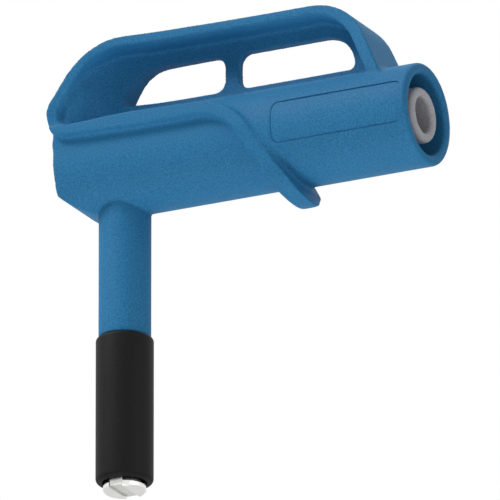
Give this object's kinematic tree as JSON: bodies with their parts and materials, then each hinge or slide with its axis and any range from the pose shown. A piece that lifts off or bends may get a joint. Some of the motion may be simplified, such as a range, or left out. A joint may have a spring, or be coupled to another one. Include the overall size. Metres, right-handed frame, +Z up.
{
  "type": "right-angle test adapter",
  "caption": "Right-angle test adapter: magnetic contact head on an insulated stem, shrouded safety socket in a barrel with finger guard and a grip rim with windows.",
  "frame": {"origin": "on the stem's axis, in the plane of the end sleeve's lower ring face", "axes": "+Z up along the stem away from the contact head, +X along the barrel towards the socket's mouth, +Y across the barrel"},
  "size_m": [0.048, 0.014, 0.0564],
  "materials": {
    "blue_plastic": "fine matt moulded grain, mid blue",
    "white_plastic": "matt, white",
    "black_plastic": "satin, black",
    "grey_plastic": "satin, light grey",
    "plated_steel": "turned and nickel plated",
    "magnet_nickel": "nickel plated magnet",
    "spring_steel": "drawn wire",
    "black_steel": "blackened",
    "brass_parts": "turned, bare",
    "plated_brass": "turned and nickel plated"
  },
  "bodies": {
    "adapter": {"housing": "blue_plastic", "stem_tube": "blue_plastic", "stem_liner": "white_plastic", "end_sleeve": "black_plastic", "plunger_guide": "brass_parts", "contact_spring": "spring_steel", "stem_rod": "brass_parts", "junction_block": "brass_parts", "junction_screws": "black_steel", "link_rod": "brass_parts", "lock_nut": "brass_parts", "contact_bush": "white_plastic", "socket_contact": "plated_brass", "socket_insulator": "grey_plastic"},
    "head": {"pole_pieces": "plated_steel", "head_magnet": "magnet_nickel", "contact_plunger": "brass_parts"}
  },
  "joints": [
    {"name": "head_slide", "type": "slide", "parent": "adapter", "child": "head", "axis": [0, 0, 1], "range_m": [0, 0.001], "stiffness_N_per_m": 1500, "springref_m": -0.0004, "deforming": ["contact_spring"]}
  ]
}
